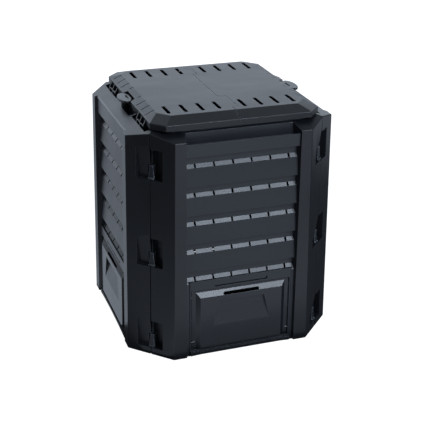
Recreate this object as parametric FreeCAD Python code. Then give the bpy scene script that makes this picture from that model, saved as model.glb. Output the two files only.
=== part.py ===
import FreeCAD, Part
import math
import os

from FreeCAD import Placement, Rotation, Vector

# Free-standing compost bin of moulded plastic panels, millimetres.
# Origin: centre of the base, on the ground. +Z up, the front wall faces -Y.
# A wall is drawn in its own frame: X across, Y inwards from its outer face, Z up the panel.

# Bin body
base_width = 719.0
shoulder_height = 751.5
wall_lean = 10.0
corner_cut = 124.0
strip_lean = 10.0
skin = 3.0
shoulder_slope = 0.295
seam_flange = 26.0
seam_groove = 1.8
seam_groove_depth = 5.5
edge_radius = 3.5
overcut = 5.0

# Lid
lid_half_x = 280.7
lid_half_y = 307.2
lid_lift = 26.2
skirt_height = 18.3
crown_height = 16.0
bevel_x = 34.2
bevel_y = 48.5
lid_corner_ratio = 1.08
lid_corner_rim = 43.3
lid_corner_top = 38.6
lid_skin = 3.0
lid_edge_radius = 2.5
seam_gap = 1.8
seam_rear = 9.0
seam_middle = -9.0
seam_front = 19.0
seam_hook_rear_inset = 45.7
seam_step_rear_inset = 108.7
seam_step_front_inset = 145.7
seam_hook_front_inset = 28.7
seam_ease = 8.0
tongue_lap = 12.0
tongue_root = 14.0
tongue_end = 18.0
tongue_clearance = 0.3
slot_count = 4
slot_first = 42.5
slot_margin = 37.2
slot_inset = 58.7
slot_length = 76.0
slot_width = 13.0
edge_slot_margin = 4.7
edge_slot_length = 33.0
edge_slot_short = 16.0
edge_slot_width = 5.0
edge_slot_places = (203.0, 152.0, 101.0, 50.0)
rib_height = 10.0
rib_thickness = 2.5
rib_places = (-140.0, 0.0, 140.0)

# Mouth of the bin, under the lid
mouth_inset = 19.0
mouth_corner = 44.0
lip_rise = 7.3
lip_depth = 32.0

# Recessed field of each wall
post_width = 45.5
field_draft = 6.0
field_shoulder_depth = 48.0
rain_trough_back = 44.0
rain_trough_front = 18.0
rain_trough_sink = 16.0
band_bevel = 4.0
band_depth = 8.0
band_drop = 11.5
band_height = 40.0
band_gap = 27.4
board_count = 4
board_depth = 18.0
board_foot_depth = 13.0
board_gap = 24.7
lap_depth = 26.0
ledge_drop = 11.7
vent_count = 6
vent_margin = 33.5
vent_width = 6.0

# Door frame in the foot of each wall
block_top = 271.3
block_depth = 11.0
block_groove = 14.0
block_groove_taper = 8.0
toe_depth = 3.0
toe_height = 14.0
arch_rise = 7.0
arch_margin = 8.0
rail_slot_drop = 24.8
rail_slot_half = 92.0
rail_slot_width = 4.0
rail_slot_tip = 7.0

# Door
door_margin = 21.0
door_bottom = 26.0
door_top_drop = 36.8
door_gap = 3.0
sill_gap = 6.0
door_face = 4.0
door_rise = 11.0
door_skin = 3.0
panel_side_step = 13.0
panel_side_bevel = 14.0
panel_top_step = 5.5
panel_top_bevel = 17.0
pivot_height = 46.0
pivot_radius = 4.0
pivot_clearance = 0.3
pivot_room = 14.0
stop_lip = 6.0
stop_clearance = 0.3
side_clearance = 0.4
frame_depth = 24.0
catch_rise = 104.0
catch_drop = 22.5
catch_height = 8.0
grip_drop = 18.5
grip_half = 62.0
grip_width = 9.0
scoop_drop = 43.5
scoop_floor = 23.0
scoop_rise = 79.0
scoop_half_top = 79.0
scoop_half_bottom = 98.5
scoop_depth = 10.0

# Corner pockets and the clips in them
pocket_first = 24.5
pocket_last_drop = 131.5
pocket_height = 100.0
window_width = 45.0
window_depth = 30.0
ramp_width = 50.0
ramp_depth = 13.0
ramp_lift = 12.0
ramp_foot = 6.0
pocket_skin = 2.5
seam_relief = 12.0
clip_height = 46.0
clip_flare_height = 28.0
clip_flare = 3.5
clip_web = 4.0
clip_foot = 4.0
clip_leg = 3.6
clip_reach = 9.5
clip_clearance = 0.3

# Lid hinge, alike on both sides
hinge_out = 6.3
hinge_drop = 6.7
hinge_radius = 3.0
hinge_clearance = 0.3
hinge_inset = 129.7
hinge_spread = 38.5
hinge_lug_width = 6.0
hinge_window_margin = 14.0
hinge_window_drop = 4.0
cradle_width = 5.0
trough_half = 77.5
trough_inner = 15.0
trough_outer = 8.0
trough_sink = 1.5

# Oval turning latch in the middle of each lid side
latch_offset = 12.0
latch_out = 8.3
latch_half_length = 48.0
latch_half_width = 22.0
latch_rise = 1.0
latch_thickness = 7.0
latch_edge_radius = 2.0
latch_clearance = 0.5
latch_stem = 6.0
latch_stem_clearance = 0.25
latch_collar = 8.5
latch_collar_height = 4.0
latch_collar_room = 1.0
latch_foot_rise = 0.5
latch_slot_width = 7.0
latch_slot_length = 39.0
latch_slot_depth = 4.0
latch_slot_place = 8.8
boss_radius = 11.0
notch_gap = 2.0
notch_depth = 15.7
keeper_lap = 7.0
keeper_half = 10.0
keeper_height = 5.0
finger_relief_height = 8.0
finger_relief_length = 42.0

# Finger recess in the shoulder, in front of the latch
recess_half = 12.0
recess_length = 104.0
recess_start = 4.0
recess_sink = 6.5
recess_end_rise = 5.5

half = base_width / 2
seam_distance = base_width - corner_cut
lean = wall_lean / shoulder_height
corner_lean = (wall_lean + strip_lean) / shoulder_height
lid_bottom = shoulder_height + lid_lift
lid_rim = lid_bottom + skirt_height
lid_top = lid_rim + crown_height
lid_top_half_x = lid_half_x - bevel_x
lid_top_half_y = lid_half_y - bevel_y
lip_top = lid_bottom + lip_rise
field_half = half - corner_cut - post_width
band_top = shoulder_height - band_drop
ledge_top = band_top - band_height - band_gap
ledge_pitch = (ledge_top - block_top - ledge_drop) / board_count
board_height = ledge_pitch - ledge_drop - board_gap
door_half = field_half - door_margin
door_top = block_top - door_top_drop
pocket_last = shoulder_height - pocket_last_drop
pocket_bottoms = (pocket_first, (pocket_first + pocket_last) / 2, pocket_last)
clip_half = skin + clip_clearance + clip_leg
hinge_x = lid_half_x + hinge_out
hinge_z = lid_bottom - hinge_drop
hinge_y = lid_half_y - hinge_inset
latch_x = lid_half_x + latch_out
latch_top = lid_rim + latch_rise
latch_bottom = latch_top - latch_thickness
latch_foot = shoulder_height + latch_foot_rise
reach = 2 * base_width


def box(x0, x1, y0, y1, z0, z1):
    return Part.makeBox(x1 - x0, y1 - y0, z1 - z0, Vector(x0, y0, z0))


def prism(points, direction):
    # A closed outline of 3-D points pushed along a direction.
    return Part.Face(Part.makePolygon(points + [points[0]])).extrude(direction)


def prism_x(outline, x0, x1):
    return prism([Vector(x0, y, z) for y, z in outline], Vector(x1 - x0, 0, 0))


def prism_y(outline, y0, y1):
    return prism([Vector(x, y0, z) for x, z in outline], Vector(0, y1 - y0, 0))


def prism_z(outline, z0, z1):
    return prism([Vector(x, y, z0) for x, y in outline], Vector(0, 0, z1 - z0))


def cylinder(radius, start, end):
    axis = end - start
    return Part.makeCylinder(radius, axis.Length, start, axis)


def slot(width, start, end, push):
    # A round-ended slot between two points, pushed along a direction.
    along = end - start
    ends = [Part.makeCylinder(width / 2, push.Length, point, push) for point in (start, end)]
    across = push.cross(along)
    across.normalize()
    side = across * (width / 2)
    body = prism([start - side, end - side, end + side, start + side], push)
    return body.fuse(ends)


def half_space(point, outward):
    # Everything on the inner side of a plane, as a large box.
    block = box(-reach, reach, -reach, reach, -2 * reach, 0)
    block.Placement = Placement(point, Rotation(Vector(0, 0, 1), outward))
    return block


def keep_inside(shape, planes, inset):
    for point, outward in planes:
        normal = Vector(outward)
        normal.normalize()
        shape = shape.common(half_space(point - normal * inset, normal))
    return shape


def turned(shape, angle):
    copy = shape.copy()
    copy.rotate(Vector(0, 0, 0), Vector(0, 0, 1), angle)
    return copy


def on_wall(shape):
    # From the wall's own frame to its place as the front wall, leaning inwards.
    copy = shape.copy()
    copy.rotate(Vector(0, 0, 0), Vector(1, 0, 0), -math.degrees(math.atan(lean)))
    copy.translate(Vector(0, -half, 0))
    return copy


def on_corner(shape):
    # From the seam's frame (X along the corner face, Y inwards) to the front left corner.
    copy = shape.copy()
    tilt = math.atan(corner_lean / math.sqrt(2))
    copy.rotate(Vector(0, 0, 0), Vector(1, 0, 0), -math.degrees(tilt))
    copy.rotate(Vector(0, 0, 0), Vector(0, 0, 1), -45)
    copy.translate(Vector(-seam_distance / 2, -seam_distance / 2, 0))
    return copy


def one_solid(shape):
    # The largest solid of a boolean result, with its split faces joined.
    shape = shape.removeSplitter()
    return max(shape.Solids, key=lambda solid: solid.Volume)


def body_planes():
    planes = []
    for quarter in range(4):
        turn = Rotation(Vector(0, 0, 1), 90 * quarter)
        face = Vector(0, -half, 0)
        planes.append((turn.multVec(face), turn.multVec(Vector(0, -1, lean))))
        corner = Vector(-seam_distance / 2, -seam_distance / 2, 0)
        planes.append((turn.multVec(corner), turn.multVec(Vector(-1, -1, corner_lean))))
        edge = Vector(0, -half + wall_lean, shoulder_height)
        planes.append((turn.multVec(edge), turn.multVec(Vector(0, -shoulder_slope, 1))))
    return planes


def body_envelope(inset):
    floor = 0 if inset == 0 else -overcut
    return keep_inside(box(-half, half, -half, half, floor, lip_top), body_planes(), inset)


def rounded_body():
    # The whole bin as a block, its outer edges rounded except at the foot and the flat top.
    body = body_envelope(0)
    edges = [edge for edge in body.Edges
             if edge.BoundBox.ZMax > edge_radius and edge.BoundBox.ZMin < lip_top - edge_radius]
    return body.makeFillet(edge_radius, edges)


def mouth_outline(grow, sideways):
    # Plan of the mouth, turned a quarter round for a side wall drawn as the front wall.
    cut = mouth_corner + grow * (2 - math.sqrt(2))
    x = grow - mouth_inset + (lid_half_y if sideways else lid_half_x)
    y = grow - mouth_inset + (lid_half_x if sideways else lid_half_y)
    return [(x, cut - y), (x, y - cut), (x - cut, y), (cut - x, y),
            (-x, y - cut), (-x, cut - y), (cut - x, -y), (x - cut, -y)]


def wedge(gap):
    # The quarter of the plan that belongs to the front wall, less a gap at each seam.
    outline = [(0, -gap), (-base_width, -base_width - gap), (base_width, -base_width - gap)]
    return prism_z(outline, -overcut, reach)


def offset_line(points, distance):
    # The same broken line moved sideways, with mitred corners.
    moved = []
    normals = []
    for (a, b), (c, d) in zip(points, points[1:]):
        length = math.hypot(c - a, d - b)
        normals.append(((b - d) / length, (c - a) / length))
    for index, (x, y) in enumerate(points):
        before = normals[max(index - 1, 0)]
        after = normals[min(index, len(normals) - 1)]
        scale = distance / (1 + before[0] * after[0] + before[1] * after[1])
        moved.append((x + scale * (before[0] + after[0]), y + scale * (before[1] + after[1])))
    return moved


def field_top(sideways):
    # The front and back walls have a trough behind the top band. On the side walls the
    # shoulder runs on to the band's bevelled edge.
    if sideways:
        start = band_depth + band_bevel
        edge = shoulder_height + shoulder_slope * start
        return [(start, edge), (band_depth, edge - band_bevel)]
    shoulder = shoulder_height + shoulder_slope * field_shoulder_depth
    floor = band_top - rain_trough_sink
    return [(field_shoulder_depth, shoulder), (rain_trough_back, floor),
            (rain_trough_front, floor), (rain_trough_front, band_top), (band_depth, band_top)]


def field_line(sideways):
    # Outer surface of the recessed field from the shoulder down: depth and height.
    band_bottom = band_top - band_height
    line = field_top(sideways)
    line.append((band_depth, band_bottom))
    line.append((lap_depth, band_bottom))
    for index in range(board_count):
        top = ledge_top - index * ledge_pitch
        line.append((lap_depth, top))
        line.append((board_depth, top - ledge_drop))
        line.append((board_foot_depth, top - ledge_drop - board_height))
        line.append((lap_depth, top - ledge_drop - board_height))
    line.append((lap_depth, block_top + ledge_drop))
    line.append((board_depth, block_top))
    line.append((block_depth, block_top))
    line.append((block_depth, toe_height))
    line.append((toe_depth, toe_height))
    line.append((toe_depth, -2 * overcut))
    return line


def field_region(line, widen):
    # All that lies in front of a field line, between the sides of the recess, and the
    # grooves on both sides of the door frame.
    top = lid_top
    far_depth = field_shoulder_depth + 2 * skin
    draft = field_draft / lap_depth
    outline = [(-overcut, top), (line[0][0], top)] + line + [(-overcut, line[-1][1])]
    near = field_half + widen + overcut * draft
    far = field_half + widen - far_depth * draft
    plan = [(-near, -overcut), (near, -overcut), (far, far_depth), (-far, far_depth)]
    region = prism_x(outline, -half, half)
    foot = field_half - block_groove - widen
    deep = board_depth + widen
    floor = board_foot_depth + widen
    low = line[-1][1]
    drop = (board_depth - board_foot_depth) * ledge_drop / (lap_depth - board_depth)
    groove = [(foot, -overcut), (foot, block_depth), (foot + block_groove_taper, deep),
              (half, deep), (half, -overcut)]
    profile = [(-overcut, low), (floor, low), (floor, block_top - drop), (deep, block_top),
               (-overcut, block_top)]
    for side in (-1, 1):
        walls = [(side * x, y) for x, y in groove]
        region = region.fuse(prism_z(walls, low, block_top).common(prism_x(profile, -half, half)))
    return region.common(prism_z(plan, -3 * overcut, top))


def vent_slits():
    slits = []
    spacing = 2 * (field_half - vent_margin) / (vent_count - 1)
    for level in range(board_count + 1):
        top = ledge_top - level * ledge_pitch
        for index in range(vent_count):
            x = (index - (vent_count - 1) / 2) * spacing
            slits.append(box(x - vent_width / 2, x + vent_width / 2, board_depth - skin,
                             lap_depth + 2 * skin, top - ledge_drop, top))
    return slits


def arch_cut():
    radius = (field_half ** 2 + arch_rise ** 2) / (2 * arch_rise)
    centre = Vector(0, -overcut, arch_rise - radius)
    side = field_half - arch_margin
    deep = lap_depth + seam_flange
    inner = box(-side, side, -overcut, deep, -overcut, 2 * arch_rise)
    return cylinder(radius, centre, centre + Vector(0, deep + overcut, 0)).common(inner)


def door_frame():
    # Deep rim round the doorway, with the lip that the closed door stops against.
    side = door_half + door_gap
    top = door_top + door_gap
    bottom = door_bottom - sill_gap
    lip = door_face + door_rise + door_skin + stop_clearance
    back = frame_depth + overcut
    rim = box(-side - skin, side + skin, block_depth, frame_depth, bottom - skin, top + skin)
    doorway = box(-side, side, -overcut, lip, bottom, top)
    lipped = box(stop_lip - side, side - stop_lip, -overcut, back, bottom, top - stop_lip)
    swing = box(-side, side, -overcut, back, bottom, pivot_height + pivot_room)
    return rim, [doorway, lipped, swing]


def pivot_holes():
    depth = door_face + door_rise + door_skin / 2
    radius = pivot_radius + pivot_clearance
    side = door_half + door_gap + skin + pivot_clearance
    return cylinder(radius, Vector(-side, depth, pivot_height), Vector(side, depth, pivot_height))


def rail_slot():
    low = block_top - rail_slot_drop - rail_slot_width / 2
    high = low + rail_slot_width
    deep = block_depth + 2 * skin
    long_part = box(-rail_slot_half, rail_slot_half, 0, deep, low, high)
    tip = box(rail_slot_half - rail_slot_width, rail_slot_half, 0, deep, low, high + rail_slot_tip)
    return long_part.fuse(tip)


def window_pocket(bottom):
    # Deep pocket at a wall's left end, with a frame round it and a back.
    top = bottom + pocket_height
    back = window_depth + pocket_skin
    deep = box(skin, window_width, -overcut, window_depth, bottom, top)
    shallow = box(-skin, skin, -overcut, seam_relief, bottom, top)
    frame = box(0, window_width + pocket_skin, 0, back,
                bottom - pocket_skin, top + pocket_skin)
    return frame, [deep, shallow]


def ramp_pocket(bottom):
    # Shallow pocket at a wall's right end: its floor slopes in towards the bottom.
    top = bottom + pocket_height + ramp_lift
    foot = bottom + ramp_foot
    floor = [(-overcut, bottom), (ramp_depth, bottom), (ramp_depth, foot), (0, top),
             (-overcut, top)]
    face = [(-ramp_width, bottom - overcut), (skin, bottom - overcut), (skin, top),
            (-ramp_width, top - ramp_lift)]
    ramp = prism_x(floor, -ramp_width, skin).common(prism_y(face, -overcut, ramp_depth))
    lined = [(0, bottom - pocket_skin), (ramp_depth + pocket_skin, bottom - pocket_skin),
             (ramp_depth + pocket_skin, foot), (pocket_skin, top + pocket_skin),
             (0, top + pocket_skin)]
    lining = prism_x(lined, -ramp_width - pocket_skin, 0)
    room = clip_half + clip_flare + 3 * clip_clearance
    well_top = bottom + clip_height + skin
    well = box(-room, -skin, -overcut, window_depth, bottom, well_top)
    relief = box(-skin, skin, -overcut, seam_relief, bottom, top)
    well_lining = box(-room - pocket_skin, 0, 0, window_depth + pocket_skin,
                      bottom - pocket_skin, well_top + pocket_skin)
    return lining.fuse(well_lining), [ramp, well, relief]


def hinge_lugs():
    return [hinge_y - hinge_spread, hinge_y, hinge_y + hinge_spread]


def hinge_trough():
    # Trench beside the lid's edge with two ribs that cradle a lid pin, for the right wall.
    inner = hinge_x - trough_inner
    outer = hinge_x + trough_outer
    near = hinge_y - trough_half
    far = hinge_y + trough_half
    floor = shoulder_height - trough_sink
    trench = box(inner, outer, near, far, floor, lid_top)
    lining = box(inner - skin, outer + skin, near - skin, far + skin, floor - skin, lid_top)
    bore = hinge_radius + hinge_clearance
    ribs = []
    for place in (hinge_y - hinge_spread / 2, hinge_y + hinge_spread / 2):
        low = place - cradle_width / 2
        high = place + cradle_width / 2
        rib = box(inner, outer, low, high, floor, hinge_z + hinge_radius)
        seat = cylinder(bore, Vector(hinge_x, low, hinge_z), Vector(hinge_x, high, hinge_z))
        throat = box(hinge_x - bore, hinge_x + bore, low, high, hinge_z, lid_top)
        ribs.append(rib.cut([seat, throat]))
    return trench, lining, ribs


def flipped(shape):
    # The mirror image across the XZ plane.
    return shape.mirror(Vector(0, 0, 0), Vector(0, 1, 0))


def sloped_slot(radius, start, end, floor_start, floor_end):
    # An upright slot, open above, whose floor rises evenly from its start to its end.
    deep = Vector(latch_x, start, floor_start)
    body = slot(2 * radius, deep, Vector(latch_x, end, floor_start), Vector(0, 0, lid_top - floor_start))
    low = start - radius
    high = end + radius
    side = prism_x([(low, floor_start), (high, floor_end), (high, lid_top), (low, lid_top)],
                   latch_x - radius, latch_x + radius)
    return body.common(side)


def latch_seat():
    # Boss that the latch turns in, and the finger recess beside it, for the right wall.
    y = -latch_offset
    top = latch_bottom - latch_clearance
    foot = latch_foot + latch_collar_height + latch_clearance
    under = foot - lip_depth
    boss = cylinder(boss_radius, Vector(latch_x, y, foot), Vector(latch_x, y, top))
    bore = cylinder(latch_stem + latch_stem_clearance, Vector(latch_x, y, under),
                    Vector(latch_x, y, lid_top))
    room = cylinder(latch_collar + latch_collar_room, Vector(latch_x, y, under),
                    Vector(latch_x, y, foot))
    start = -recess_start
    end = recess_length - recess_half - latch_offset
    near = shoulder_height - recess_sink
    far = shoulder_height + recess_end_rise
    recess = sloped_slot(recess_half, start, end, near, far)
    lining = sloped_slot(recess_half + skin, start, end, near - skin, far - skin)
    return boss, [bore, room], recess, lining


def wall_shell(outer, sideways):
    # Posts, half corners, shoulders and seam flanges of one wall, as the front wall.
    hollow = body_envelope(skin)
    flange_room = body_envelope(seam_flange)
    quarter = wedge(0)
    mouth = prism_z(mouth_outline(0, sideways), 0, reach)
    shell = outer.cut(hollow).common(quarter)
    flange = outer.cut(flange_room).common(quarter.cut(wedge(skin * math.sqrt(2))))
    ring = prism_z(mouth_outline(skin, sideways), lip_top - lip_depth, lip_top)
    return shell.fuse([flange, ring.common(quarter)]).cut(mouth)


def make_wall(outer, with_hinges):
    line = field_line(with_hinges)
    recess = field_region(line, 0)
    sheet = field_region(offset_line(line, skin), skin).cut(recess)
    rim, doorway = door_frame()
    field = sheet.fuse(rim).cut(doorway + vent_slits() + [arch_cut(), pivot_holes(), rail_slot()])
    wall = wall_shell(outer, with_hinges).cut(on_wall(recess))
    wall = wall.fuse(on_wall(field).common(outer))
    quarter = wedge(0)
    for bottom in pocket_bottoms:
        frame, voids = window_pocket(bottom)
        wall = wall.fuse(on_corner(frame).common(quarter)).cut([on_corner(v) for v in voids])
        lining, voids = ramp_pocket(bottom)
        lining = turned(on_corner(lining), 90).common(quarter)
        wall = wall.fuse(lining).cut([turned(on_corner(v), 90) for v in voids])
    if with_hinges:
        wall = add_side_fittings(wall, outer)
    above = box(-half, half, -half, half, shoulder_height, reach)
    groove = quarter.cut(wedge(seam_groove * math.sqrt(2))).cut(body_envelope(seam_groove_depth))
    groove = groove.common(outer)
    return one_solid(wall.common(outer.fuse(above)).cut(groove))


def add_side_fittings(wall, outer):
    # The hinge troughs and the latch seat are drawn on the right and turned to the front.
    trench, lining, ribs = hinge_trough()
    boss, bores, recess, recess_lining = latch_seat()
    for part in (lining, flipped(lining), recess_lining):
        wall = wall.fuse(turned(part, -90).common(outer))
    cuts = [trench, flipped(trench), recess]
    wall = wall.cut([turned(part, -90) for part in cuts])
    additions = ribs + [flipped(rib) for rib in ribs] + [boss]
    wall = wall.fuse([turned(part, -90) for part in additions])
    return wall.cut([turned(part, -90) for part in bores])


def door_panel(front, back, shrink):
    # The raised panel as a block: wide at the back, bevelled to its face.
    bottom = door_bottom + shrink
    half_back = door_half - panel_side_step
    top_back = door_top - panel_top_step
    outlines = []
    for depth, side, top in ((back, half_back, top_back),
                             (front, half_back - panel_side_bevel, top_back - panel_top_bevel)):
        x = side - shrink / 2
        z = top - shrink / 2
        points = [Vector(-x, depth, bottom), Vector(x, depth, bottom), Vector(x, depth, z),
                  Vector(-x, depth, z)]
        outlines.append(Part.makePolygon(points + [points[0]]))
    return Part.makeLoft(outlines, True, True)


def scoop_block(grow):
    # The finger scoop: deep under its top edge, ramping out to the face below.
    front = door_face if grow else door_face - overcut
    floor = door_face + scoop_depth + grow
    top = door_top - scoop_drop
    bottom = door_bottom + scoop_rise
    profile = [(front, top + grow), (floor, top + grow), (floor, top - scoop_floor),
               (door_face + grow, bottom - grow), (front, bottom - grow)]
    wide = scoop_half_bottom + grow
    narrow = scoop_half_top + grow
    face = [(-wide, bottom - grow), (wide, bottom - grow), (narrow, top + grow),
            (-narrow, top + grow)]
    return prism_x(profile, -wide, wide).common(prism_y(face, -overcut, floor))


def make_door():
    back = door_face + door_rise
    flange = box(-door_half, door_half, back, back + door_skin, door_bottom, door_top)
    hollow = door_panel(door_face + door_skin, back + door_skin, door_skin)
    leaf = flange.fuse(door_panel(door_face, back, 0)).cut(hollow)
    leaf = leaf.fuse(scoop_block(door_skin)).cut(scoop_block(0))
    grip_end = Vector(grip_half - grip_width / 2, 0, door_top - grip_drop)
    grip_start = Vector(-grip_end.x, 0, grip_end.z)
    leaf = leaf.cut(slot(grip_width, grip_start, grip_end, Vector(0, back + 2 * door_skin, 0)))
    depth = back + door_skin / 2
    for side in (-1, 1):
        root = Vector(side * (door_half - 2 * pivot_radius), depth, pivot_height)
        tip = Vector(side * (door_half + door_gap + skin - side_clearance), depth, pivot_height)
        leaf = leaf.fuse(cylinder(pivot_radius, root, tip))
        edge = side * door_half
        lug = side * (door_half + door_gap - side_clearance)
        for height in (door_bottom + catch_rise, door_top - catch_drop):
            leaf = leaf.fuse(box(min(edge, lug), max(edge, lug), back, back + door_skin,
                                 height - catch_height / 2, height + catch_height / 2))
    return one_solid(on_wall(leaf))


def make_clip(bottom):
    # Channel-shaped clip pushed over both seam flanges, its face flared towards the foot.
    top = bottom + clip_height
    base = bottom + clip_clearance
    wide = clip_half + clip_flare
    face = seam_relief - clip_clearance - clip_web
    outline = [(-wide, base), (wide, base), (wide, base + clip_foot),
               (clip_half, base + clip_flare_height), (clip_half, top), (-clip_half, top),
               (-clip_half, base + clip_flare_height), (-wide, base + clip_foot)]
    web = prism_y(outline, face, face + clip_web)
    inner = skin + clip_clearance
    back = seam_relief + clip_reach
    legs = [box(min(side * inner, side * clip_half), max(side * inner, side * clip_half),
                face, back, base, top) for side in (-1, 1)]
    foot = box(-wide, wide, face - clip_web, face, base, base + clip_foot)
    return one_solid(on_corner(web.fuse(legs + [foot])))


def lid_planes():
    planes = []
    for side in (-1, 1):
        run = lid_rim - lid_top
        planes.append((Vector(side * lid_top_half_x, 0, lid_top),
                       Vector(-side * run, 0, lid_half_x - lid_top_half_x)))
        planes.append((Vector(0, side * lid_top_half_y, lid_top),
                       Vector(0, -side * run, lid_half_y - lid_top_half_y)))
        planes.append((Vector(side * lid_half_x, 0, 0), Vector(side, 0, 0)))
        planes.append((Vector(0, side * lid_half_y, 0), Vector(0, side, 0)))
        for other in (-1, 1):
            across = Vector(side * lid_corner_ratio, other, 0)
            across.normalize()
            rim = Vector(side * lid_half_x, other * (lid_half_y - lid_corner_rim), 0)
            top = Vector(side * lid_top_half_x, other * (lid_top_half_y - lid_corner_top), lid_top)
            slope = Vector(across.x * -run, across.y * -run, across.dot(rim - top))
            planes.append((rim, across))
            planes.append((top, slope))
    planes.append((Vector(0, 0, lid_top), Vector(0, 0, 1)))
    return planes


def lid_envelope(inset):
    floor = lid_bottom if inset == 0 else lid_bottom - overcut
    side = lid_half_y + overcut
    top = lid_top + overcut
    return keep_inside(box(-side, side, -side, side, floor, top), lid_planes(), inset)


def rounded_lid():
    # The lid as a block, all edges rounded except those of its open underside.
    lid = lid_envelope(0)
    edges = [edge for edge in lid.Edges if edge.BoundBox.ZMax > lid_bottom + lid_edge_radius]
    return lid.makeFillet(lid_edge_radius, edges)


def seam_path():
    # Plan of the joint between the lid halves, from the rear edge to the front edge.
    edge = base_width
    ease = seam_ease
    hook_rear = lid_top_half_y - seam_hook_rear_inset
    step_rear = lid_top_half_y - seam_step_rear_inset
    step_front = seam_step_front_inset - lid_top_half_y
    hook_front = seam_hook_front_inset - lid_top_half_y
    return [(seam_middle, edge), (seam_middle, hook_rear + ease / 2),
            (seam_rear, hook_rear - ease / 2), (seam_rear, step_rear + ease / 2),
            (seam_middle, step_rear - ease / 2), (seam_middle, step_front + ease),
            (seam_middle + ease, step_front), (seam_front - ease, step_front),
            (seam_front, step_front - ease), (seam_front, hook_front),
            (0, hook_front), (0, -edge)]


def half_plan(side):
    # Everything on one side of the seam, half a gap away from it.
    edge = base_width
    path = offset_line(seam_path(), side * seam_gap / 2)
    return prism_z(path + [(side * edge, -edge), (side * edge, edge)], 0, reach)


def both_sides(shapes):
    # The shapes of the left side and the same turned round to the right side.
    return shapes + [turned(shape, 180) for shape in shapes]


def lid_slot(width, start, end):
    # A slot through the lid between two points of its plan.
    low = lid_bottom
    push = Vector(0, 0, lid_top - lid_bottom + overcut)
    return slot(width, Vector(start[0], start[1], low), Vector(end[0], end[1], low), push)


def top_slots():
    # Two rows of slots in the flat top of the lid.
    run = (slot_length - slot_width) / 2
    row = lid_top_half_y - slot_inset
    spacing = (lid_top_half_x - slot_margin - slot_first) / (slot_count - 1)
    slots = []
    for index in range(slot_count):
        x = slot_first + index * spacing
        for place in ((-x, -row), (x, -row), (-x, row), (x, row)):
            start = (place[0], place[1] - run)
            slots.append(lid_slot(slot_width, start, (place[0], place[1] + run)))
    return slots


def edge_slots():
    # One row of thin slots across the left bevel; the two beside the latch are short.
    inner = edge_slot_margin + edge_slot_length - lid_half_x
    slots = []
    for side in (-1, 1):
        for place in edge_slot_places:
            y = latch_offset + side * place
            length = edge_slot_short if place == edge_slot_places[-1] else edge_slot_length
            start = (inner - length + edge_slot_width / 2, y)
            slots.append(lid_slot(edge_slot_width, start, (inner - edge_slot_width / 2, y)))
    return slots


def lid_pins():
    # Hinge pins on the left edge with the lugs that carry them.
    parts = []
    first = hinge_lugs()[0] - hinge_lug_width / 2
    last = hinge_lugs()[-1] + hinge_lug_width / 2
    skirt = -lid_half_x
    top = lid_rim - hinge_window_drop + lid_edge_radius
    arm = [(-hinge_x - hinge_radius, hinge_z - hinge_radius),
           (-hinge_x + hinge_radius, hinge_z - hinge_radius), (skirt + lid_skin, lid_bottom),
           (skirt + lid_skin, top), (skirt + lid_edge_radius / 2, top),
           (-hinge_x - hinge_radius, hinge_z + hinge_radius / 2)]
    for side in (-1, 1):
        parts.append(cylinder(hinge_radius, Vector(-hinge_x, side * first, hinge_z),
                              Vector(-hinge_x, side * last, hinge_z)))
        for place in hinge_lugs():
            low = side * place - hinge_lug_width / 2
            parts.append(prism_y(arm, low, low + hinge_lug_width))
    return parts


def hinge_windows():
    # The skirt is open in front of the pins on the left edge.
    room = hinge_spread + hinge_window_margin
    low = lid_bottom - overcut
    high = lid_rim - hinge_window_drop
    return [box(-lid_half_x - overcut, -lid_half_x + lid_skin + 1, side * hinge_y - room,
                side * hinge_y + room, low, high) for side in (-1, 1)]


def notch_cuts():
    # Notch that lets the left latch turn in under the bevel, and the finger room beside it.
    low = Vector(-latch_x, latch_offset, 0)
    swing = cylinder(latch_half_length + notch_gap, low, low + Vector(0, 0, reach))
    edge = notch_depth - lid_half_x
    notch = swing.common(box(-half, edge, -half, half, lid_bottom - overcut, lid_top))
    near = latch_offset - latch_half_length - notch_gap + overcut
    far = latch_offset - latch_half_length - notch_gap - finger_relief_length
    top = lid_bottom + finger_relief_height
    relief = prism_x([(near, lid_bottom - overcut), (near, top), (near - overcut, top),
                      (far, lid_bottom), (far, lid_bottom - overcut)],
                     -lid_half_x - overcut, -lid_half_x + lid_skin + 1)
    return [notch, relief]


def keeper():
    # Hook under the left bevel that the turned latch reaches over.
    foot_top = latch_bottom - latch_clearance
    tip = latch_half_length - latch_x - keeper_lap
    back = latch_half_length - latch_x + latch_clearance
    y0 = latch_offset - keeper_half
    y1 = latch_offset + keeper_half
    low = foot_top - keeper_height
    foot = box(tip, back + lid_skin, y0, y1, low, foot_top)
    return foot.fuse(box(back, back + lid_skin, y0, y1, low, lid_top))


def lid_tongue(side):
    # Plate under the seam, fixed to one half, that slides beneath the other half.
    back = lid_top - lid_skin
    step_front = seam_step_front_inset - lid_top_half_y
    if side < 0:
        x = seam_front
        y0 = seam_hook_front_inset - lid_top_half_y + tongue_end
        y1 = step_front - tongue_end
    else:
        x = seam_middle
        y0 = step_front + tongue_end
        y1 = lid_top_half_y - seam_step_rear_inset - tongue_end
    root = x + side * tongue_root
    edge = x + side * seam_gap / 2
    tip = x - side * tongue_lap
    own = box(min(root, edge), max(root, edge), y0, y1, back - lid_skin, back + lid_skin / 2)
    top = back - tongue_clearance
    return own.fuse(box(min(root, tip), max(root, tip), y0, y1, back - lid_skin, top))


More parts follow.
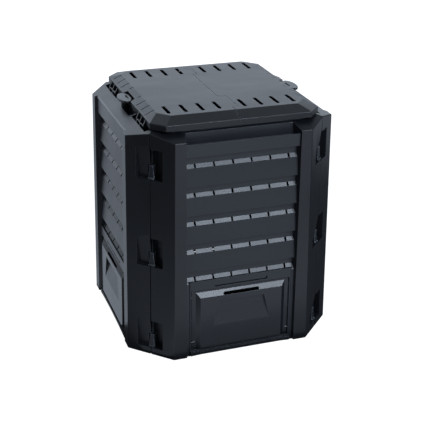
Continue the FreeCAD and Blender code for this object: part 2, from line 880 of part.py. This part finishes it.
def make_lid():
    # Both halves in one piece, before they are parted along the seam.
    outer = rounded_lid()
    lid = outer.cut(lid_envelope(lid_skin))
    low = lid_top - lid_skin - rib_height
    ribs = []
    for y in rib_places:
        for x in (seam_middle - tongue_lap - lid_skin, seam_front + tongue_lap + lid_skin):
            end = math.copysign(lid_top_half_x, x)
            ribs.append(box(min(x, end), max(x, end), y - rib_thickness / 2, y + rib_thickness / 2,
                            low, lid_top - lid_skin / 2))
    lid = lid.fuse(ribs).cut(both_sides(notch_cuts() + hinge_windows()))
    lid = lid.fuse(both_sides([keeper().common(outer)] + lid_pins()))
    return lid.cut(top_slots() + both_sides(edge_slots()))


def make_lid_half(lid, side):
    return one_solid(lid.common(half_plan(side)).fuse(lid_tongue(side)))


def oval_plate():
    # Flat oval, long side along Y, with its upper edge rounded.
    across = Vector(0, 1, 0)
    centre = Vector(-latch_x, latch_offset, latch_bottom)
    outline = Part.Ellipse(centre + across * latch_half_length,
                           centre + Vector(latch_half_width, 0, 0), centre).toShape()
    plate = Part.Face(Part.Wire(outline)).extrude(Vector(0, 0, latch_thickness))
    rim = [edge for edge in plate.Edges if edge.BoundBox.ZMin > latch_bottom + latch_edge_radius]
    return plate.makeFillet(latch_edge_radius, rim)


def make_latch():
    # Turning latch of the left side: oval plate, stem and the snap collar below.
    centre = Vector(-latch_x, latch_offset, 0)
    up = Vector(0, 0, 1)
    stem = cylinder(latch_stem, centre + up * latch_foot, centre + up * latch_top)
    stem = stem.common(box(-half, half, -half, half, latch_foot, latch_top - latch_slot_depth))
    collar = cylinder(latch_collar, centre + up * latch_foot,
                      centre + up * (latch_foot + latch_collar_height))
    x = latch_slot_place - latch_x
    z = latch_top - latch_slot_depth
    run = (latch_slot_length - latch_slot_width) / 2
    finger = slot(latch_slot_width, Vector(x, latch_offset - run, z),
                  Vector(x, latch_offset + run, z), up * latch_thickness)
    return one_solid(oval_plate().fuse([stem, collar]).cut(finger))


def export(name, shape):
    shape.exportStep(os.path.join("parts", name + ".step"))
    print(name, shape.isValid(), len(shape.Solids), round(shape.Volume / 1000), "cm3")


def main():
    os.makedirs("parts", exist_ok=True)
    outer = rounded_body()
    plain_wall = make_wall(outer, False)
    hinge_wall = make_wall(outer, True)
    door = make_door()
    clips = [make_clip(bottom) for bottom in pocket_bottoms]
    sides = ("front", "right", "back", "left")
    corners = ("front_left", "front_right", "back_right", "back_left")
    heights = ("bottom", "middle", "top")
    for quarter in range(4):
        wall = plain_wall if quarter % 2 == 0 else hinge_wall
        export("wall_" + sides[quarter], turned(wall, 90 * quarter))
        export("door_" + sides[quarter], turned(door, 90 * quarter))
        for clip, height in zip(clips, heights):
            export("clip_" + corners[quarter] + "_" + height, turned(clip, 90 * quarter))
    lid = make_lid()
    export("lid_left", make_lid_half(lid, -1))
    export("lid_right", make_lid_half(lid, 1))
    latch = make_latch()
    export("latch_left", latch)
    export("latch_right", turned(latch, 180))


main()
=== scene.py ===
import math
import bpy
from mathutils import Matrix, Vector


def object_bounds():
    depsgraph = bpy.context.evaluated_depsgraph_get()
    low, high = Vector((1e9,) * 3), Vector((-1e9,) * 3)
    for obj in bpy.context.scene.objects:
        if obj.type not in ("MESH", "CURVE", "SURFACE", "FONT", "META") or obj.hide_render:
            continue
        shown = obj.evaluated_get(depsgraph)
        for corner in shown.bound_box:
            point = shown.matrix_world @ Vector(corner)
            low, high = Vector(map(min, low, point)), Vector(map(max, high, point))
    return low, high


# Garden compost bin, put together in this order: four slotted panels, the clips that hold their
# seams, a flap door in each panel, the two lid halves and the two turning latches. Metres.
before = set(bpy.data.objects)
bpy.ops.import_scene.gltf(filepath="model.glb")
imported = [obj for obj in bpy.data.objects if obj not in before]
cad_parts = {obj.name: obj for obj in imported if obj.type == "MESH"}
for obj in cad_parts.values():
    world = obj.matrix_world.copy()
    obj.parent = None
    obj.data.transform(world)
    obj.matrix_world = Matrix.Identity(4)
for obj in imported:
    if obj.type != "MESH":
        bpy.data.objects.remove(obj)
cad_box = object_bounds()


# Four side panels. Each is one injection moulding of black polypropylene: two half corner posts, a
# recessed field of boards with vent slits, a door frame and a shoulder that carries the lid. The
# boards are given a lighter black than the posts, a painted sheen for the light that they catch.
MM = 0.001
panel_black = "#15171b"
# Edge colour of rubbed wear and of a painted highlight along the edges; doors and latches share it.
panel_wear_and_highlight = "#4c515a"
panel_roughness = 0.35
panel_rounding = 1.2 * MM
board_sheen_black = "#1e2126"
board_half_width = 188 * MM
board_blend = 1 * MM

# What all the mouldings have in common. The tool's real grain is about a tenth of a millimetre, too
# fine to show, and is drawn coarser. Streaks are given as their size along x, y and z, and the pale
# edges (rubbed wear and a painted highlight) as the cosine between the true and the rounded normal.
polypropylene_ior = 1.49
grain_size = 1.6 * MM
grain_depth = 0.2 * MM
warp_size = 90 * MM
warp_depth = 4 * MM
pale_edge_patch = 25 * MM
upright_streak = (111 * MM, 111 * MM, 400 * MM)
streak_contrast = 0.3
streak_polish = 0.05
streak_dulling = 0.07
pale_edge_starts = 0.995
pale_edge_full = 0.8


def to_linear(code):
    """sRGB hex to linear: c / 12.92 up to 0.04045, and ((c + 0.055) / 1.055) to the 2.4 above it."""
    values = [int(code[i:i + 2], 16) / 255 for i in (1, 3, 5)]
    return [c / 12.92 if c <= 0.04045 else ((c + 0.055) / 1.055) ** 2.4 for c in values] + [1.0]


def add(owner, kind, settings=None, links=None):
    """Adds one node to a material or the air: its properties or input values, and its inputs' sources."""
    node = owner.node_tree.nodes.new(kind)
    for name, value in (settings or {}).items():
        if isinstance(name, int) or name in node.inputs.keys():
            node.inputs[name].default_value = value
        else:
            setattr(node, name, value)
    for name, source in (links or {}).items():
        owner.node_tree.links.new(source, node.inputs[name])
    return node


def bare_material(name):
    """A material without nodes, and the Object coordinates that its patterns read."""
    material = bpy.data.materials.new(name)
    material.use_nodes = True
    material.node_tree.nodes.clear()
    return material, add(material, "ShaderNodeTexCoord").outputs["Object"]


def from_middle(material, place):
    """|x| and |y| of a place, how far it is from the bin's two middle planes."""
    reach = add(material, "ShaderNodeVectorMath", {"operation": "ABSOLUTE"}, {0: place})
    return add(material, "ShaderNodeSeparateXYZ", {}, {0: reach.outputs[0]}).outputs


def on_boards(material, place):
    """Mask: 1 on a panel's boards and 0 on its posts, from the lesser of |x| and |y|."""
    sides = from_middle(material, place)
    across = add(material, "ShaderNodeMath", {"operation": "MINIMUM"}, {0: sides[0], 1: sides[1]})
    field = add(material, "ShaderNodeMapRange",
                {"From Min": board_half_width + board_blend, "From Max": board_half_width - board_blend},
                {"Value": across.outputs[0]})
    return field.outputs["Result"]


def worn_and_highlit_edge(material, place, rounded):
    """Wear and painted highlight: 0 on flats, more as the true and rounded normal part, times patchy noise.
    """
    geometry = add(material, "ShaderNodeNewGeometry")
    facing = add(material, "ShaderNodeVectorMath", {"operation": "DOT_PRODUCT"},
                 {0: geometry.outputs["Normal"], 1: rounded.outputs["Normal"]})
    edge = add(material, "ShaderNodeMapRange", {"From Min": pale_edge_starts, "From Max": pale_edge_full},
               {"Value": facing.outputs["Value"]})
    patches = add(material, "ShaderNodeTexNoise", {"Scale": 1 / pale_edge_patch, "Detail": 3.0},
                  {"Vector": place})
    return add(material, "ShaderNodeMath", {"operation": "MULTIPLY"},
               {0: edge.outputs["Result"], 1: patches.outputs["Fac"]}).outputs[0]


def streaked(material, black, flow):
    """The black of a moulding, from darker to lighter by streak_contrast along the flow noise."""
    dark, light = ([c * share for c in to_linear(black)[:3]] + [1.0]
                   for share in (1 - streak_contrast, 1 + streak_contrast))
    return add(material, "ShaderNodeMix", {"data_type": "RGBA", 6: dark, 7: light},
               {0: flow.outputs["Fac"]}).outputs[2]


def moulded_surface(material, place, rounded):
    """Normal of a moulding: the rounded one, tilted by a slow warp and then by the tool's grain."""
    warp = add(material, "ShaderNodeTexNoise", {"Scale": 1 / warp_size, "Detail": 1.0}, {"Vector": place})
    grain = add(material, "ShaderNodeTexNoise", {"Scale": 1 / grain_size, "Detail": 2.0}, {"Vector": place})
    warped = add(material, "ShaderNodeBump", {"Strength": 0.22, "Distance": warp_depth},
                 {"Height": warp.outputs["Fac"], "Normal": rounded.outputs["Normal"]})
    return add(material, "ShaderNodeBump", {"Strength": 0.18, "Distance": grain_depth},
               {"Height": grain.outputs["Fac"], "Normal": warped.outputs["Normal"]}).outputs["Normal"]


def moulded_plastic(name, black, wear_and_highlight, roughness, rounding=2 * MM, streak=upright_streak, boards=None):
    """Moulded polypropylene: satin black, faint flow streaks, pale edges of wear and painted highlight.

    Colour = streaked black (on the boards a lighter one, a painted sheen), towards the pale edge colour
    by the worn_and_highlit_edge mask: rubbed wear and a painted highlight.
    Roughness = roughness - streak_polish to roughness + streak_dulling, by the same flow noise.
    """
    material, place = bare_material(name)
    rounded = add(material, "ShaderNodeBevel", {"samples": 4, "Radius": rounding})
    stretch = add(material, "ShaderNodeMapping", {"Scale": [1 / size for size in streak]}, {"Vector": place})
    flow = add(material, "ShaderNodeTexNoise", {"Scale": 1.0, "Detail": 4.0, "Roughness": 0.55},
               {"Vector": stretch.outputs["Vector"]})
    base = streaked(material, black, flow)
    if boards:
        base = add(material, "ShaderNodeMix", {"data_type": "RGBA"},
                   {0: on_boards(material, place), 6: base, 7: streaked(material, boards, flow)}).outputs[2]
    colour = add(material, "ShaderNodeMix", {"data_type": "RGBA", 7: to_linear(wear_and_highlight)},
                 {0: worn_and_highlit_edge(material, place, rounded), 6: base})
    gloss = add(material, "ShaderNodeMapRange",
                {"To Min": roughness - streak_polish, "To Max": roughness + streak_dulling},
                {"Value": flow.outputs["Fac"]})
    shader = add(material, "ShaderNodeBsdfPrincipled", {"IOR": polypropylene_ior},
                 {"Base Color": colour.outputs[2], "Roughness": gloss.outputs["Result"],
                  "Normal": moulded_surface(material, place, rounded)})
    add(material, "ShaderNodeOutputMaterial", {}, {"Surface": shader.outputs["BSDF"]})
    return material


def dress(start_of_name, material):
    """Gives the CAD nodes whose names start so their finish."""
    for name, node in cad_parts.items():
        if name.startswith(start_of_name):
            node.data.materials.clear()
            node.data.materials.append(material)


dress("wall_", moulded_plastic("panel_moulded_polypropylene", panel_black, panel_wear_and_highlight, panel_roughness,
                               panel_rounding, boards=board_sheen_black))


# Twelve snap clips, three to a corner. Each is a small channel of black polypropylene pushed over
# the flanges of two neighbouring panels. Their edges are painted paler than any other piece's: a
# little rubbed wear, and mostly a painted highlight along the edges.
clip_black = "#22252b"
clip_wear_and_highlight = "#b4bac4"
clip_roughness = 0.38
clip_rounding = 3 * MM
dress("clip_", moulded_plastic("clip_moulded_polypropylene", clip_black, clip_wear_and_highlight, clip_roughness,
                               clip_rounding))


# Four flap doors, moulded of the same black polypropylene but off a smoother tool, so they shine
# more. Each turns on two pins low in the panel's doorway and snaps shut against its lip.
door_black = "#181a1f"
door_roughness = 0.27
dress("door_", moulded_plastic("door_moulded_polypropylene", door_black, panel_wear_and_highlight, door_roughness))


# Two lid halves of black polypropylene that clip together along a stepped seam. Pins on both outer
# edges sit in open cradles in the side panels. The flow streaks run across, from side to side.
lid_black = "#141619"
# Lid edges painted pale: a little rubbed wear, and mostly a painted highlight along the rims.
lid_wear_and_highlight = "#8c929c"
lid_roughness = 0.38
lid_rounding = 3 * MM
lid_streak = (333 * MM, 111 * MM, 111 * MM)
dress("lid_", moulded_plastic("lid_moulded_polypropylene", lid_black, lid_wear_and_highlight, lid_roughness,
                              lid_rounding, lid_streak))


# Two turning latches, each an oval plate with a finger slot. Its stem is pushed down into a boss on
# the side panel's shoulder until the collar snaps out underneath.
latch_black = "#1c1e22"
latch_roughness = 0.35
dress("latch_", moulded_plastic("latch_moulded_polypropylene", latch_black, panel_wear_and_highlight, latch_roughness))


# Studio floor: the camera sees it white, a shade greyer where the bin shadows it. Mirrored in the
# plastic it is a dark floor, so the walls stay black. Under the bin it is painted dark to the camera
# too, a painted shadow.
floor_size = 30.0
floor_dark = "#59595b"
floor_pale = "#a0a0a0"
white = "#ffffff"
floor_glow = 0.95
corner_cut = 124 * MM
inside_foot = 7.5 * MM
half_foot = cad_box[1][0] - inside_foot
corner_foot = 2 * cad_box[1][0] - corner_cut - math.sqrt(2) * inside_foot
bpy.ops.mesh.primitive_plane_add(size=floor_size)
floor = bpy.context.object
floor.name = "studio_floor"
floor_paint, spot = bare_material("floor_paint")

# The bin's foot is a square with cut corners: the greater of |x|, |y| and (|x| + |y|) scaled so that
# a cut corner counts as far out as a side.
sides = from_middle(floor_paint, spot)
widest = add(floor_paint, "ShaderNodeMath", {"operation": "MAXIMUM"}, {0: sides[0], 1: sides[1]})
both = add(floor_paint, "ShaderNodeMath", {"operation": "ADD"}, {0: sides[0], 1: sides[1]})
corner = add(floor_paint, "ShaderNodeMath", {"operation": "MULTIPLY", 1: half_foot / corner_foot},
             {0: both.outputs[0]})
farthest = add(floor_paint, "ShaderNodeMath", {"operation": "MAXIMUM"},
               {0: widest.outputs[0], 1: corner.outputs[0]})
# Outside the foot the floor glows white. Inside it, where the bin's shade falls, it is painted dark to the
# camera: a painted shadow.
outside_painted_shadow = add(floor_paint, "ShaderNodeMath", {"operation": "GREATER_THAN", 1: half_foot},
                 {0: farthest.outputs[0]})
dark = add(floor_paint, "ShaderNodeBsdfDiffuse", {"Color": to_linear(floor_dark)})
pale = add(floor_paint, "ShaderNodeBsdfDiffuse", {"Color": to_linear(floor_pale)})
glow = add(floor_paint, "ShaderNodeEmission", {"Color": to_linear(white), "Strength": floor_glow})
lit = add(floor_paint, "ShaderNodeAddShader", {}, {0: pale.outputs[0], 1: glow.outputs[0]})
shown = add(floor_paint, "ShaderNodeMixShader", {},
            {0: outside_painted_shadow.outputs[0], 1: dark.outputs[0], 2: lit.outputs[0]})
path = add(floor_paint, "ShaderNodeLightPath")
seen = add(floor_paint, "ShaderNodeMixShader", {},
           {0: path.outputs["Is Camera Ray"], 1: dark.outputs[0], 2: shown.outputs[0]})
add(floor_paint, "ShaderNodeOutputMaterial", {}, {"Surface": seen.outputs[0]})
floor.data.materials.append(floor_paint)


# Studio air: the camera sees it white, like the floor. The plastic sees a dim, bluish daylight, which
# lifts the faces that no lamp reaches.
daylight = "#eaf5ff"
daylight_strength = 0.27
air = bpy.data.worlds.new("studio_air")
air.use_nodes = True
air.node_tree.nodes.clear()
dim = add(air, "ShaderNodeBackground", {"Color": to_linear(daylight), "Strength": daylight_strength})
bright = add(air, "ShaderNodeBackground", {"Color": to_linear(white), "Strength": 1.0})
path = add(air, "ShaderNodeLightPath")
seen = add(air, "ShaderNodeMixShader", {},
           {0: path.outputs["Is Camera Ray"], 1: dim.outputs[0], 2: bright.outputs[0]})
add(air, "ShaderNodeOutputWorld", {}, {"Surface": seen.outputs[0]})
bpy.context.scene.world = air


# Lamps: low, wide ones behind and behind left give the lid its sheen, and a small bright one in
# front picks out the ledges. White cards on the floor, facing up, fill the walls from below.
lamp_blue = "#e3efff"
card_height = 10 * MM
under_lid = (0, 0, 0.7)
front_boards = (0, -0.36, 0.4)


def soft_box(name, centre, aim, width, height, brightness):
    """An even rectangular light, turned to face its aim. Watts = pi . area . brightness."""
    lamp = bpy.data.lights.new(name, "AREA")
    lamp.shape = "RECTANGLE"
    lamp.size = width
    lamp.size_y = height
    lamp.energy = math.pi * width * height * brightness
    lamp.color = to_linear(lamp_blue)[:3]
    holder = bpy.data.objects.new(name, lamp)
    bpy.context.collection.objects.link(holder)
    holder.location = centre
    holder.rotation_euler = (Vector(aim) - Vector(centre)).to_track_quat("-Z", "Y").to_euler()
    holder.visible_camera = False


def floor_card(name, x, y, width, depth, brightness):
    """A soft box that lies just above the floor and faces up."""
    soft_box(name, (x, y, card_height), (x, y, 1.0), width, depth, brightness)


soft_box("back_light", (0.9, 4.2, 2.2), under_lid, 5.5, 3.0, 1.25)
soft_box("back_left_light", (-2.4, 3.6, 2.0), under_lid, 2.6, 2.6, 1.87)
soft_box("front_box", (0.96, -2.62, 2.45), front_boards, 1.2, 1.0, 17.2)
floor_card("front_card", 0.4, -2.7, 2.4, 2.0, 1.56)
floor_card("near_card", 0.25, -0.95, 1.0, 0.8, 0.88)
floor_card("foot_card", 0.1, -0.465, 0.9, 0.17, 0.395)
floor_card("corner_card", -0.75, -0.45, 1.0, 0.35, 0.364)
floor_card("left_card", -1.9, 1.0, 3.1, 2.2, 0.676)
floor_card("right_card", 1.9, 1.4, 2.6, 1.6, 0.728)
floor_card("back_card", 0.0, 2.9, 3.0, 1.6, 0.936)


# The photograph's viewpoint: 19 degrees round to the left, 24 degrees above the horizon, and a long
# lens. The image is taken as 423 pixels square, 1000 pixels from the lens centre.
viewpoint = (-1.0516, -3.0539, 1.7884)
azimuth = math.radians(-19.24)
elevation = math.radians(23.96)
roll = math.radians(0.66)
image_side = 423
focal_pixels = 1000.0
film_width = 36.0
lens = bpy.data.cameras.new("photo_camera")
lens.sensor_width = film_width
lens.lens = focal_pixels / image_side * film_width
camera = bpy.data.objects.new("photo_camera", lens)
bpy.context.collection.objects.link(camera)
turned = Matrix.Rotation(azimuth, 4, "Z") @ Matrix.Rotation(math.pi / 2 - elevation, 4, "X")
camera.matrix_world = Matrix.Translation(viewpoint) @ turned @ Matrix.Rotation(roll, 4, "Z")
bpy.context.scene.camera = camera
bpy.context.scene.view_settings.view_transform = "Standard"
